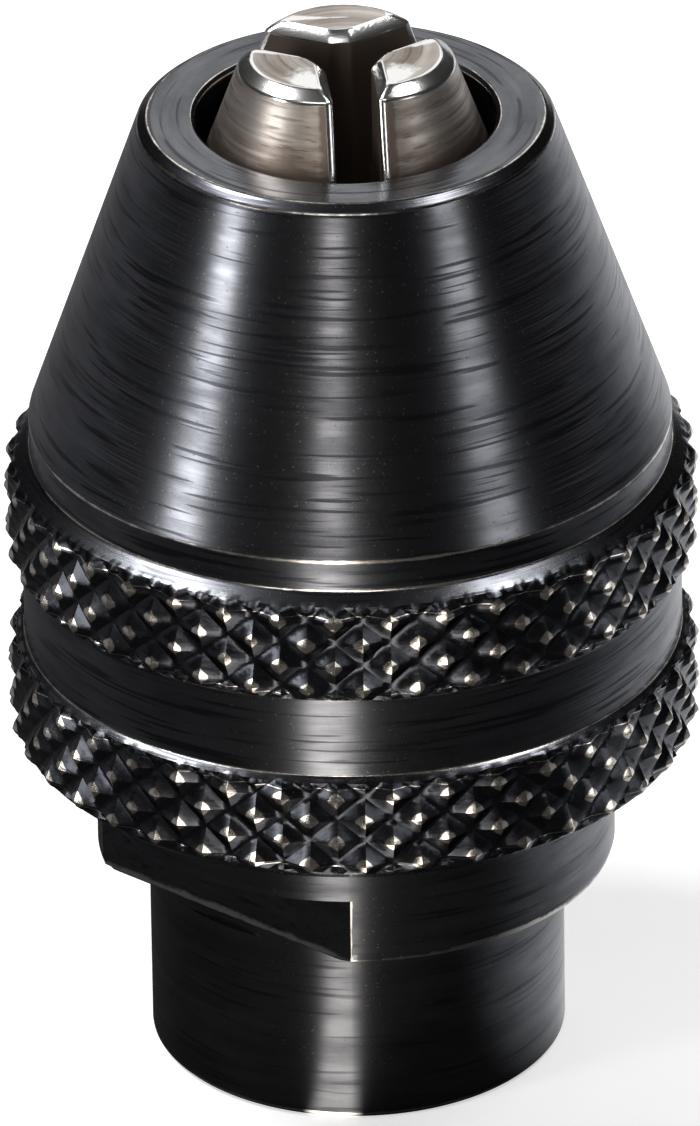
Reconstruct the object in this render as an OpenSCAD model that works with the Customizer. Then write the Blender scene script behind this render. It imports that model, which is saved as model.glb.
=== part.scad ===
// Small keyless drill chuck: a hand-tightened sleeve wedges three segment jaws onto the tool.
// Millimetres. +Z points from the rear face to the jaws; the origin is the centre of the rear face.
// The sleeve screws along the body. Its inner taper closes the jaws, and springs open them.

/* [Body] */
// Diameter of the rear shank
shank_d = 10.5; // [10.2:0.1:11]
// Length of the rear shank, up to the flange
shank_l = 5.25; // [4.5:0.05:5.6]
// Diameter of the flange that the sleeve slides over
flange_d = 13.1; // [13:0.05:13.3]
// Width across the two wrench flats
flats_af = 10.26; // [10:0.02:10.8]
// Height of the wrench flats above the flange's rear edge
flats_h = 1.8; // [1.4:0.1:2]
// Direction that the first wrench flat faces, in degrees from +X
flats_angle = 230; // [0:1:360]
// Wall diameter of the spindle thread (8 mm thread, fine pitch)
thread_wall_d = 7.2; // [7:0.05:7.3]
// Depth of the spindle thread
thread_l = 7; // [6:0.1:7.2]
// Diameter of the clear hole behind the jaws
through_d = 3.6; // [3.3:0.1:4]

/* [Sleeve] */
// Height of the sleeve's rear edge at rest
sleeve_z = 8.6; // [8.5:0.05:8.8]
// Height of the nose face
nose_z = 25.83; // [25.7:0.01:26.2]
// Diameter over the knurl crests
knurl_d = 17.5; // [17.4:0.05:18.5]
// Diameter of the plain groove between the knurled bands
groove_d = 16.56; // [16.5:0.02:17.2]
// Diameter of the land between the knurl and the cone
land_d = 16.1; // [16:0.05:16.4]
// Diameter of the cone's front edge
nose_d = 10.4; // [10.2:0.1:10.8]
// Diameter of the bore in the nose face
nose_bore_d = 7.5; // [7.4:0.05:7.8]

/* [Jaws] */
// Half-angle of the closing taper, in degrees
taper_angle = 20; // [19:0.5:21]
// Width of the slots between the jaws at rest
slot_w = 1.14; // [1:0.02:1.3]
// Distance from the axis to each jaw's gripping flat at rest
grip_r = 0.82; // [0.8:0.01:1]
// Height that the jaws stand out of the nose
jaw_out = 1.76; // [1.5:0.02:2]
// Direction of the first jaw's middle, in degrees from +X
jaw_angle = 336; // [0:1:360]

/* [Hidden] */

$fn = 96;
eps = 0.01;          // overlap that makes cuts clean
running = 0.05;      // radial clearance of a running fit

black = "#23252b";
oiled_steel = "#4a4b50";
bare_steel = "#a89e94";
spring_steel = "#8b8d92";

// Travel from rest. The springs are the only parts that change length.
slot_shut = 0.04;                                   // slot left when the jaws are shut
shut_r = (slot_w - slot_shut) / sqrt(3);            // jaw travel inwards
open_r = 0.76;                                      // jaw travel outwards
shut_z = shut_r / tan(taper_angle);                 // sleeve travel to the rear
open_z = open_r / tan(taper_angle);                 // sleeve travel to the front

// Radius of the closing taper at height z, with the sleeve at rest
taper_at_face = 3.36;
function taper_r(z) = taper_at_face + (nose_z - z) * tan(taper_angle);

// Body heights, from the rear up
flange_z = shank_l;
shank_chamfer = 0.15;
drive_z = sleeve_z + 3.15;        // rear end of the drive thread
drive_top = sleeve_z + 6.9;       // front end of the drive thread
boss_top = drive_top + 2;         // seat of the thrust disc
disc_t = 0.9;
jaw_z = boss_top + disc_t;        // the jaws stand here
drive_r = 7.2;                    // mean radius of the drive thread
boss_r = 5;
spigot_r = 2.55;
disc_r = 5.35;

// Sleeve stations, from the rear up
lower_band_top = sleeve_z + 3;
upper_band_z = sleeve_z + 5.15;
upper_band_top = sleeve_z + 7.6;
land_z = sleeve_z + 8.1;
cone_z = sleeve_z + 8.9;
nose_chamfer = 0.2;
bore_chamfer = 0.1;
knurl_chamfer = 0.25;
rear_chamfer_in = 0.7;
rear_chamfer_up = 0.55;
counterbore_top = sleeve_z + 8.8;

// Retaining ring, loose in a groove behind the drive thread
ring_t = 0.55;
ring_z = sleeve_z + 0.4;
ring_in_r = flange_d / 2 + 0.08;
ring_out_r = 7.6;
ring_gap = 28;                    // opening of the ring, in degrees

// Jaws
bevel = 0.2;
jaw_top = nose_z + jaw_out;
jaw_shut_gap = 0.03;              // clearance between jaw and taper

// Springs between the jaws: [height, distance from the axis]
rear_spring_at = [jaw_z + 2, 3.4];
front_spring_at = [jaw_z + 5, 2.55];
spring_r = 0.72;
spring_wire = 0.24;
spring_turns = 6;
pocket_r = 0.85;
pocket_depth = 1.5;               // depth of each pocket below the jaw's side face

module spindle_body() {
    color(black) difference() {
        rotate_extrude() polygon(body_outline());
        wrench_flat(flats_angle);
        wrench_flat(flats_angle + 180);
    }
}

// Half section of the body, with the spindle thread bored to its wall diameter
function body_outline() = [
    [thread_wall_d / 2 + 0.45, 0], [shank_d / 2 - shank_chamfer, 0], [shank_d / 2, shank_chamfer],
    [shank_d / 2, flange_z], [flange_d / 2, flange_z],
    [flange_d / 2, drive_z], [drive_r - 0.3, drive_z], [drive_r, drive_z + 0.3],
    [drive_r, drive_top - 0.3], [drive_r - 0.3, drive_top], [boss_r, drive_top],
    [boss_r, boss_top], [spigot_r, boss_top], [spigot_r, boss_top + disc_t - 0.2],
    [through_d / 2, boss_top + disc_t - 0.2],
    [through_d / 2, thread_l + 2.8], [thread_wall_d / 2, thread_l + 1],
    [thread_wall_d / 2 + 0.5, thread_l + 1], [thread_wall_d / 2 + 0.5, thread_l],
    [thread_wall_d / 2, thread_l], [thread_wall_d / 2, 0.45]
];

// Block that cuts one wrench flat, just below the flange and up its side
module wrench_flat(angle) {
    below = 0.25;
    rotate(angle) translate([flats_af / 2, -flange_d, flange_z - below])
        cube([flange_d, 2 * flange_d, flats_h + below]);
}

module thrust_disc() {
    c = 0.12;
    hole_r = spigot_r + running;
    color(oiled_steel) rotate_extrude() polygon([
        [hole_r, boss_top], [disc_r - c, boss_top], [disc_r, boss_top + c],
        [disc_r, jaw_z - c], [disc_r - c, jaw_z], [hole_r, jaw_z]
    ]);
}

module retaining_ring() {
    color(spring_steel) rotate([0, 0, 90 + ring_gap / 2])
        rotate_extrude(angle = 360 - ring_gap)
            translate([ring_in_r, ring_z]) square([ring_out_r - ring_in_r, ring_t]);
}

module nose_sleeve() {
    color(black) rotate_extrude() polygon(concat(sleeve_outside(), sleeve_inside()));
}

// Outer half section, from the rear edge to the nose face. The knurled bands are plain
// cylinders at the crest diameter.
function sleeve_outside() = [
    [knurl_d / 2 - rear_chamfer_in, sleeve_z], [knurl_d / 2, sleeve_z + rear_chamfer_up],
    [knurl_d / 2, lower_band_top - knurl_chamfer], [groove_d / 2, lower_band_top],
    [groove_d / 2, upper_band_z], [knurl_d / 2, upper_band_z + knurl_chamfer],
    [knurl_d / 2, upper_band_top], [land_d / 2, land_z], [land_d / 2, cone_z],
    [nose_d / 2, nose_z - nose_chamfer], [nose_d / 2 - 0.25, nose_z]
];

// Inner half section, from the nose bore back to the rear edge
function sleeve_inside() =
    let (
        bore_r = nose_bore_d / 2,
        taper_top = nose_z - (bore_r - taper_at_face) / tan(taper_angle),
        thread_r = drive_r + running,
        groove_z = ring_z - running,
        groove_r = ring_out_r + running
    ) [
        [bore_r + bore_chamfer, nose_z], [bore_r, nose_z - bore_chamfer], [bore_r, taper_top],
        [taper_r(counterbore_top), counterbore_top], [thread_r, counterbore_top],
        [thread_r, groove_z + ring_t + 2 * running], [groove_r, groove_z + ring_t + 2 * running],
        [groove_r, groove_z], [thread_r, groove_z], [thread_r, sleeve_z]
    ];

// One jaw: a third of a cone. The cone is centred on the chuck's axis when the jaws are
// shut, so at rest it sits outwards by the travel, and never digs into the taper.
module jaw(i) {
    middle = jaw_angle + 120 * i;
    color(bare_steel) rotate(middle) difference() {
        intersection() {
            translate([shut_r, 0, 0]) rotate_extrude() polygon(jaw_cone());
            jaw_wedge();
        }
        for (side = [-1, 1]) {
            spring_pocket(side, rear_spring_at);
            spring_pocket(side, front_spring_at);
            tip_bevel(side);
        }
    }
}

function jaw_cone() =
    let (
        r_low = taper_r(jaw_z) - shut_r - jaw_shut_gap,
        r_high = taper_r(jaw_top) - shut_r - jaw_shut_gap,
        lift = bevel / 2
    ) [
        [0, jaw_z], [r_low - lift, jaw_z], [r_low - lift * tan(taper_angle), jaw_z + lift],
        [r_high + bevel * tan(taper_angle), jaw_top - bevel], [r_high - bevel, jaw_top], [0, jaw_top]
    ];

// Prism between the two slot faces, cut off square at the gripping flat. Each slot runs
// straight out from the axis, 60 degrees either side of the jaw's middle.
module jaw_wedge() {
    apex = slot_w / 2 / sin(60);
    reach = 12;
    half_flat = (grip_r - apex) * tan(60);
    translate([0, 0, jaw_z]) linear_extrude(jaw_top - jaw_z) polygon([
        [grip_r, -half_flat], [apex + reach, -reach * tan(60)],
        [apex + reach, reach * tan(60)], [grip_r, half_flat]
    ]);
}

// Point on a slot face, measured out from the axis along the slot
module on_slot_face(side, along, z) {
    rotate(60 * side) translate([along, -side * slot_w / 2, z]) children();
}

module spring_pocket(side, at) {
    on_slot_face(side, at[1], at[0])
        rotate([side * 90, 0, 0]) translate([0, 0, -eps])
            cylinder(r = pocket_r, h = pocket_depth + eps);
}

// Bevel along the front edge of one slot face
module tip_bevel(side) {
    on_slot_face(side, 0, jaw_top) rotate([45, 0, 0])
        translate([-1, -bevel / sqrt(2), -bevel / sqrt(2)]) cube([8, 2 * bevel / sqrt(2), 2 * bevel / sqrt(2)]);
}

// Compression spring across the slot between one jaw and the next
module slot_spring(i, at) {
    length = slot_w + 2 * pocket_depth - 2 * running;
    color(spring_steel) rotate(jaw_angle + 60 + 120 * i) translate([at[1], -length / 2, at[0]])
        rotate([-90, 0, 0]) coil(length);
}

module coil(length) {
    pitch = (length - spring_wire) / spring_turns;
    sweep = 360 * spring_wire / pitch;
    steps = 4;
    arc = [for (k = [0:steps]) sweep * k / steps];
    section = concat(
        [for (a = arc) spring_r * [cos(a), sin(a)]],
        [for (k = [steps:-1:0]) (spring_r - spring_wire) * [cos(arc[k]), sin(arc[k])]]
    );
    linear_extrude(length, twist = -360 * length / pitch, slices = 11 * spring_turns, $fn = 10)
        polygon(section);
}

spindle_body();
thrust_disc();
retaining_ring();
nose_sleeve();
jaw(0);  // jaw_1
jaw(1);  // jaw_2
jaw(2);  // jaw_3
slot_spring(0, rear_spring_at);  // rear_spring_1
slot_spring(1, rear_spring_at);  // rear_spring_2
slot_spring(2, rear_spring_at);  // rear_spring_3
slot_spring(0, front_spring_at);  // front_spring_1
slot_spring(1, front_spring_at);  // front_spring_2
slot_spring(2, front_spring_at);  // front_spring_3
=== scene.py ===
"""A small keyless drill chuck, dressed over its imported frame.

Every sub-assembly is a class that turns, mills, knurls or winds its own meshes and gives
them their finish. Sizes are in millimetres inside the classes and become metres when a mesh
is made. The axis of the chuck is +Z, from the rear shank to the jaws.
"""

import logging
import math
from dataclasses import dataclass, field
from enum import Enum

import bpy
import numpy as np
from mathutils import Matrix, Vector


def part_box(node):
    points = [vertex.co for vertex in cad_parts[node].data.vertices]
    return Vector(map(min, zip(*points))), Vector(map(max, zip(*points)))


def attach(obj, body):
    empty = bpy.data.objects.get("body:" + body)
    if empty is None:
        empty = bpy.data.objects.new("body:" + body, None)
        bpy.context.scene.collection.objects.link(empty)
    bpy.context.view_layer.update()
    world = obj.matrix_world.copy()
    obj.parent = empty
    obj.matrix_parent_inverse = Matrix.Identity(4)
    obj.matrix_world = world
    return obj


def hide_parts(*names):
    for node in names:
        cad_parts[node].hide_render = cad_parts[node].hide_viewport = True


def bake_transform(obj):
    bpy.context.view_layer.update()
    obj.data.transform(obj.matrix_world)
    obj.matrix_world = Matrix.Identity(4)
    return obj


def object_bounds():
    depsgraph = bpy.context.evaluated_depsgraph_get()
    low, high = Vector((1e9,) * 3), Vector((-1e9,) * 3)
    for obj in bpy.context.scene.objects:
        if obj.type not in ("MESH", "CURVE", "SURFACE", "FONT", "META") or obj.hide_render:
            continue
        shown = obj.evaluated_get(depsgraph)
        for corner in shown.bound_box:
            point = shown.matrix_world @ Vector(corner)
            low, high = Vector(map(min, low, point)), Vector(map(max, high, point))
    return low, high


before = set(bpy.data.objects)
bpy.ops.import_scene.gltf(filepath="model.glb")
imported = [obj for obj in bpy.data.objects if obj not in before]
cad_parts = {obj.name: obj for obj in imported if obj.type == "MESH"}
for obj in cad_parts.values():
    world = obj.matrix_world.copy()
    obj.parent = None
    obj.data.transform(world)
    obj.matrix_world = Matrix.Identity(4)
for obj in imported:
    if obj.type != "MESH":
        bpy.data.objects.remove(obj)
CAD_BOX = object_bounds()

LOG = logging.getLogger("drill_chuck")
MM = 0.001

Colour = tuple[float, float, float]
Point = tuple[float, float]
Row = tuple[float, float, float]


# --- Node trees ---


class Signal:
    """An output in a node tree, which plain arithmetic can work on."""

    def __init__(self, graph: "Graph", socket: bpy.types.NodeSocket) -> None:
        """Notes the output and the graph that it is in."""
        self.graph = graph
        self.socket = socket

    def __add__(self, other: object) -> "Signal":
        """Adds something to it."""
        return self.graph.math("ADD", self, other)

    def __sub__(self, other: object) -> "Signal":
        """Takes something from it."""
        return self.graph.math("SUBTRACT", self, other)

    def __rsub__(self, other: object) -> "Signal":
        """Takes it from something."""
        return self.graph.math("SUBTRACT", other, self)

    def __mul__(self, other: object) -> "Signal":
        """Multiplies it."""
        return self.graph.math("MULTIPLY", self, other)

    def __truediv__(self, other: object) -> "Signal":
        """Divides it."""
        return self.graph.math("DIVIDE", self, other)


class Graph:
    """Adds nodes to one tree and wires them up."""

    def __init__(self, tree: bpy.types.NodeTree) -> None:
        """Starts on an existing tree."""
        self.tree = tree

    def add(self, kind: str, feeds: dict | None = None, **settings: object) -> bpy.types.Node:
        """Adds one node.

        Args:
            kind: The node's type name in Blender.
            feeds: Values or signals for its inputs, by name or number.
            **settings: Properties of the node itself.

        Returns:
            The new node.
        """
        node = self.tree.nodes.new(kind)
        for name, value in settings.items():
            setattr(node, name, value)
        for name, value in (feeds or {}).items():
            self.feed(node.inputs[name], value)
        return node

    def feed(self, socket: bpy.types.NodeSocket, value: object) -> None:
        """Sets an input to a value, or links it to a signal.

        Args:
            socket: The input.
            value: A number, a tuple, a data-block or a signal.
        """
        if isinstance(value, Signal):
            self.tree.links.new(value.socket, socket)
        else:
            socket.default_value = value

    def get(self, kind: str, feeds: dict | None = None, output: object = 0, **settings: object) -> Signal:
        """Adds one node and gives one of its outputs, by name or number."""
        return Signal(self, self.add(kind, feeds, **settings).outputs[output])

    def math(self, operation: str, *values: object, clamp: bool = False) -> Signal:
        """Adds a Math node; clamp keeps its result between 0 and 1."""
        return self.get("ShaderNodeMath", dict(enumerate(values)), operation=operation, use_clamp=clamp)

    def ramp(self, value: Signal, low: object, high: object, out_low: object = 0.0,
             out_high: object = 1.0) -> Signal:
        """Adds a smooth Map Range node.

        Args:
            value: What is mapped.
            low: The value that gives out_low.
            high: The value that gives out_high.
            out_low: The result at low.
            out_high: The result at high.

        Returns:
            The mapped value.
        """
        feeds = {"Value": value, "From Min": low, "From Max": high, "To Min": out_low, "To Max": out_high}
        return self.get("ShaderNodeMapRange", feeds, "Result", interpolation_type="SMOOTHSTEP")

    def mix(self, share: object, first: object, second: object) -> Signal:
        """Mixes two colours.

        Args:
            share: How much of the second colour shows, from 0 to 1.
            first: The first colour.
            second: The second colour.

        Returns:
            The mixed colour.
        """
        node = self.add("ShaderNodeMix", data_type="RGBA")
        for name, value in (("Factor_Float", share), ("A_Color", first), ("B_Color", second)):
            socket = next(s for s in node.inputs if s.identifier == name)
            self.feed(socket, value)
        return Signal(self, next(s for s in node.outputs if s.identifier == "Result_Color"))

    def noise(self, vector: Signal, scale: object, detail: float = 3.0, rough: float = 0.55,
              fourth: Signal | None = None) -> Signal:
        """Adds a noise texture.

        Args:
            vector: Where it is read.
            scale: Its scale.
            detail: Its octaves.
            rough: How strong the finer octaves are.
            fourth: A fourth coordinate, where it has one.

        Returns:
            The noise, from 0 to 1.
        """
        feeds = {"Vector": vector, "Scale": scale, "Detail": detail, "Roughness": rough}
        if fourth:
            feeds["W"] = fourth
        node = self.add("ShaderNodeTexNoise", feeds, noise_dimensions="4D" if fourth else "3D")
        return Signal(self, next(s for s in node.outputs if s.type == "VALUE"))

    def group(self, tree: bpy.types.NodeTree, feeds: dict) -> dict[str, Signal]:
        """Places a shader node group and gives its outputs by name."""
        node = self.add("ShaderNodeGroup", feeds, node_tree=tree)
        return {socket.name: Signal(self, socket) for socket in node.outputs}

    def parts(self, vector: Signal) -> list[Signal]:
        """Splits a vector into x, y and z."""
        return [Signal(self, part) for part in self.add("ShaderNodeSeparateXYZ", {0: vector}).outputs]

    def vector(self, x: object = 0.0, y: object = 0.0, z: object = 0.0) -> Signal:
        """Makes a vector from its three parts."""
        return self.get("ShaderNodeCombineXYZ", {"X": x, "Y": y, "Z": z})

    def from_axis(self, x: Signal, y: Signal) -> Signal:
        """Distance of a point from the chuck's axis."""
        return self.math("SQRT", x * x + y * y)


class Sock(Enum):
    """Kinds of socket on a node group."""

    NUMBER = "NodeSocketFloat"
    WHOLE = "NodeSocketInt"
    VECTOR = "NodeSocketVector"
    SHAPE = "NodeSocketGeometry"
    FINISH = "NodeSocketMaterial"


class Group(Graph):
    """A node group with named inputs and outputs."""

    def __init__(self, name: str, tree_type: str, inputs: dict[str, object],
                 outputs: dict[str, Sock]) -> None:
        """Makes the group, empty but for its sockets.

        Args:
            name: The group's name.
            tree_type: ShaderNodeTree or GeometryNodeTree.
            inputs: By name, the default of an input that is a number, or the kind of any other.
            outputs: Each output's kind, by name.
        """
        super().__init__(bpy.data.node_groups.new(name, tree_type))
        for label, default in inputs.items():
            kind = default
            if not isinstance(default, Sock):
                kind = Sock.WHOLE if isinstance(default, int) else Sock.NUMBER
            socket = self.tree.interface.new_socket(name=label, in_out="INPUT", socket_type=kind.value)
            if kind is not default:
                socket.default_value = default
        for label, kind in outputs.items():
            self.tree.interface.new_socket(name=label, in_out="OUTPUT", socket_type=kind.value)
        self.start = self.add("NodeGroupInput")
        self.end = self.add("NodeGroupOutput")

    def __getitem__(self, name: str) -> Signal:
        """One of the group's inputs."""
        return Signal(self, self.start.outputs[name])

    def put(self, name: str, value: Signal) -> None:
        """Sets one of the group's outputs."""
        self.feed(self.end.inputs[name], value)


# --- Effects shared by the finishes ---


class Effects:
    """Shader node groups that more than one finish uses."""

    def __init__(self) -> None:
        """Builds every group once."""
        self.turning = self._turning()
        self.wear = self._wear()
        self.mottle = self._mottle()

    @staticmethod
    def _turning() -> bpy.types.NodeTree:
        """Rings left by the turning tool: fine ones for bump, broad ones for shade, dark scores.

        Returns:
            The group.
        """
        group = Group(
            "TurningMarks", "ShaderNodeTree",
            {"Vector": Sock.VECTOR, "Spacing": 0.00006, "Band Spacing": 0.0006, "Waver": 60.0},
            {"Height": Sock.NUMBER, "Bands": Sock.NUMBER, "Scores": Sock.NUMBER})
        x, y, z = group.parts(group["Vector"])
        across = group.from_axis(x, y)
        sway_x, sway_y = x * group["Waver"], y * group["Waver"]

        def rings(spacing: Signal, detail: float) -> Signal:
            """Noise that changes fast along the section and slowly on the way round."""
            place = group.vector(across / spacing, z / spacing, sway_x)
            return group.noise(place, 1.0, detail, 0.5, sway_y)

        group.put("Height", rings(group["Spacing"], 2.0))
        group.put("Bands", rings(group["Band Spacing"], 3.0))
        scores = rings(group["Spacing"] * 1.3, 1.0)
        group.put("Scores", group.ramp(scores, 0.56, 0.68))
        return group.tree

    @staticmethod
    def _wear() -> bpy.types.NodeTree:
        """Bright metal where an edge has rubbed through.

        Returns:
            The group.
        """
        group = Group(
            "RubbedEdge", "ShaderNodeTree",
            {"Vector": Sock.VECTOR, "Edge": 0.0, "Amount": 0.5, "Grain": 2500.0, "Softness": 0.25},
            {"Mask": Sock.NUMBER})
        threshold = 0.35
        grain = group.noise(group["Vector"], group["Grain"], 4.0, 0.65)
        patches = group.noise(group["Vector"], group["Grain"] * 0.12, 2.0)
        level = group["Edge"] - (grain * 0.6 + patches * 0.7) + group["Amount"]
        mask = group.ramp(level, threshold, group["Softness"] + threshold)
        marked = group.math("GREATER_THAN", group["Edge"], 0.02)
        group.put("Mask", group.math("MULTIPLY", mask, marked, clamp=True))
        return group.tree

    @staticmethod
    def _mottle() -> bpy.types.NodeTree:
        """Uneven colour of a chemical black, an oil film or a light tarnish.

        Returns:
            The group.
        """
        group = Group(
            "Mottle", "ShaderNodeTree", {"Vector": Sock.VECTOR, "Scale": 300.0, "Contrast": 0.5},
            {"Value": Sock.NUMBER, "Specks": Sock.NUMBER})
        cloud = group.noise(group["Vector"], group["Scale"], 5.0, 0.6)
        half = 0.6 - group["Contrast"] * 0.5
        group.put("Value", group.ramp(cloud, 0.5 - half, half + 0.5))
        specks = group.noise(group["Vector"], group["Scale"] * 40.0, 2.0)
        group.put("Specks", group.ramp(specks, 0.66, 0.74))
        return group.tree


# --- Finishes ---


@dataclass(frozen=True)
class TurnedMetal:
    """A turned metal surface: tool rings, mottled colour, rubbed edges, bright crests and painted shade.

    Attributes:
        name: The material's name.
        deep: Colour of the darkest patches.
        plain: Colour of the lightest patches.
        bright: Colour where the surface is rubbed through.
        rough: Roughness of the smooth patches and of the dull ones.
        bright_rough: Roughness where it is rubbed through.
        ring_depth: Depth of the tool rings, in metres.
        ring_spacing: Distance between fine rings, in metres.
        band_rings: How many fine rings make one broad band.
        waver: How quickly the rings change on the way round.
        band_shade: How strongly broad rings darken the colour.
        score_shade: How strongly the fine scores darken it.
        valley_shade: How strongly the valley mark darkens it: painted shade in the knurl's valleys and on
            the jaws' slot faces, and the jaws' flanks darker towards the foot.
        edge_wear: How far the edges are rubbed, from 0 to 1.
        crest_wear: How far the knurl's crests are rubbed, from 0 to 1.
        mottle_scale: Scale of the colour patches.
    """

    name: str
    deep: Colour
    plain: Colour
    bright: Colour
    rough: tuple[float, float]
    bright_rough: float
    ring_depth: float = 1.2e-6
    ring_spacing: float = 6e-5
    band_rings: float = 5.0
    waver: float = 350.0
    band_shade: float = 0.45
    score_shade: float = 0.3
    valley_shade: float = 0.0
    edge_wear: float = 0.5
    crest_wear: float = 0.0
    mottle_scale: float = 300.0

    def material(self, effects: Effects) -> bpy.types.Material:
        """Builds the material.

        Args:
            effects: The shared shader groups.

        Returns:
            The material.
        """
        finish = bpy.data.materials.new(self.name)
        finish.use_nodes = True
        graph = Graph(finish.node_tree)
        shader = finish.node_tree.nodes["Principled BSDF"]
        place = graph.get("ShaderNodeTexCoord", output="Object")
        rings = graph.group(effects.turning, {
            "Vector": place, "Spacing": self.ring_spacing,
            "Band Spacing": self.ring_spacing * self.band_rings, "Waver": self.waver})
        cloud = graph.group(effects.mottle, {"Vector": place, "Scale": self.mottle_scale})

        mask = self._rubbed(graph, effects, place, self._mark(graph, "edge"), self.edge_wear)
        if self.crest_wear > 0:
            crest = graph.ramp(self._mark(graph, "crest"), 0.35, 0.8)
            on_crests = self._rubbed(graph, effects, place, crest, self.crest_wear)
            mask = graph.math("MAXIMUM", mask, on_crests)

        shade = graph.ramp(rings["Bands"], 0.3, 0.7) * self.band_shade
        tone = cloud["Value"] * (1.0 - self.band_shade)
        share = graph.math("ADD", shade, tone, clamp=True)
        share = graph.math("SUBTRACT", share, rings["Scores"] * self.score_shade, clamp=True)
        # Painted shade: the valley mark darkens the knurl's valleys and the jaws' slot faces, where shade
        # falls, and the jaws' flanks towards the foot.
        if self.valley_shade > 0:
            valley = self._mark(graph, "valley") * self.valley_shade
            share = graph.math("SUBTRACT", share, valley, clamp=True)
        base = graph.mix(share, (*self.deep, 1.0), (*self.plain, 1.0))
        graph.feed(shader.inputs["Base Color"], graph.mix(mask, base, (*self.bright, 1.0)))

        dull = graph.ramp(share, 0.0, 1.0, self.rough[1], self.rough[0])
        worn = graph.ramp(mask, 0.0, 1.0, dull + cloud["Specks"] * 0.12, self.bright_rough)
        graph.feed(shader.inputs["Roughness"], worn)
        bump = graph.get("ShaderNodeBump", {
            "Height": rings["Height"], "Distance": self.ring_depth, "Strength": 1.0})
        graph.feed(shader.inputs["Normal"], bump)
        shader.inputs["Metallic"].default_value = 1.0
        return finish

    @staticmethod
    def _mark(graph: Graph, name: str) -> Signal:
        """Reads one of the numbers that are stored on the piece's vertices."""
        return graph.get("ShaderNodeAttribute", output="Fac", attribute_name=name)

    @staticmethod
    def _rubbed(graph: Graph, effects: Effects, place: Signal, edge: Signal, amount: float) -> Signal:
        """Adds the rubbed-edge group for one mark and gives its mask."""
        return graph.group(effects.wear, {"Vector": place, "Edge": edge, "Amount": amount})["Mask"]


@dataclass(frozen=True)
class PaperSweep:
    """Plain pale paper under the object, lit evenly for the camera; in the metal's reflections it is painted
    dark, with painted pools of light that glow where no lamp is.

    Attributes:
        name: The material's name.
        colour: The paper as the camera sees it.
        mirrored: The paper's painted dark colour, as it shows in the metal.
        glow: How much the camera's view of it is lifted.
        front: Brightness of the painted pool of light in front, as the metal shows it close to the foot.
        front_far: The same, further out.
        front_turn: Direction of the pool in front, in degrees to the right of straight ahead.
        front_half: Half of the pool's width, in degrees.
        front_edge: Width of the pool's soft edge, in degrees.
        rear: Brightness of the painted light on the paper behind on the right, as it shows in the metal.
        rear_near: Directions between which that light comes up, close to the foot, in degrees.
        rear_far: The same, further out.
        rear_end: Directions between which it drops again, in degrees.
        rear_left: How much of it is left after that.
        beside: Brightness of the painted light on the far paper on both sides, as it shows in the metal.
        beside_from: Directions between which that comes up, in degrees.
        far: Distances between which the paper counts as close and as far, in metres.
        fibre_scale: Scale of the fibre grain.
        fibre_light: How much lighter the fibres are.
    """

    name: str = "pale_paper"
    colour: Colour = (0.88, 0.88, 0.88)
    mirrored: Colour = (0.05, 0.05, 0.05)
    glow: float = 0.62
    front: Colour = (3.4, 3.2, 2.95)
    front_far: Colour = (6.2, 5.85, 5.35)
    front_turn: float = -7.8
    front_half: float = 3.5
    front_edge: float = 5.5
    rear: Colour = (0.75, 0.76, 0.78)
    rear_near: tuple[float, float] = (45.0, 100.0)
    rear_far: tuple[float, float] = (105.0, 140.0)
    rear_end: tuple[float, float] = (150.0, 180.0)
    rear_left: float = 0.35
    beside: Colour = (0.12, 0.12, 0.13)
    beside_from: tuple[float, float] = (55.0, 90.0)
    far: tuple[float, float] = (0.012, 0.05)
    fibre_scale: float = 900.0
    fibre_light: float = 1.04

    def material(self) -> bpy.types.Material:
        """Builds the paper, with a faint fibre grain, painted dark for the metal's reflections but for its
        painted pools of light.

        Returns:
            The material.
        """
        finish = bpy.data.materials.new(self.name)
        finish.use_nodes = True
        graph = Graph(finish.node_tree)
        shader = finish.node_tree.nodes["Principled BSDF"]
        place = graph.get("ShaderNodeTexCoord", output="Object")
        seen = graph.get("ShaderNodeLightPath", output="Is Camera Ray")
        lighter = tuple(min(1.0, c * self.fibre_light) for c in self.colour)
        grain = graph.noise(place, self.fibre_scale, 3.0)
        paper = graph.mix(grain, (*self.colour, 1.0), (*lighter, 1.0))
        lifted = graph.mix(1.0 - self.glow, paper, (0, 0, 0, 1.0))
        # The camera sees pale paper; every other ray sees painted dark paper with painted pools of light
        # that glow where no lamp is.
        graph.feed(shader.inputs["Base Color"], graph.mix(seen, (*self.mirrored, 1.0), paper))
        graph.feed(shader.inputs["Emission Color"], graph.mix(seen, self._pools(graph, place), lifted))
        shader.inputs["Emission Strength"].default_value = 1.0
        shader.inputs["Roughness"].default_value = 0.9
        shader.inputs["Specular IOR Level"].default_value = 0.1
        return finish

    def _pools(self, graph: Graph, place: Signal) -> Signal:
        """Adds nodes for the painted pools of light on the paper, which glow for every ray but the camera's,
        so that the metal reflects them.

        Args:
            graph: The paper's graph.
            place: Where on the paper it is.

        Returns:
            The light's colour.
        """
        x, y, _ = graph.parts(place)
        far = graph.ramp(graph.from_axis(x, y), *self.far)
        turn = graph.math("DEGREES", graph.math("ARCTAN2", x, y * -1.0))
        off = graph.math("ABSOLUTE", turn - self.front_turn)
        front = graph.ramp(off, self.front_half, self.front_half + self.front_edge, 1.0, 0.0)
        start, end = (graph.math("MULTIPLY_ADD", far, away - near, near)
                      for near, away in zip(self.rear_near, self.rear_far))
        rear = graph.ramp(turn, start, end) * graph.ramp(turn, *self.rear_end, 1.0, self.rear_left)
        beside = far * graph.ramp(graph.math("ABSOLUTE", turn), *self.beside_from)
        pool = graph.mix(beside, (0.0, 0.0, 0.0, 1.0), (*self.beside, 1.0))
        lit = graph.mix(far, (*self.front, 1.0), (*self.front_far, 1.0))
        return graph.mix(rear, graph.mix(front, pool, lit), (*self.rear, 1.0))


# On the sleeve, valley_shade is painted shade in the knurl's valleys.
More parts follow.
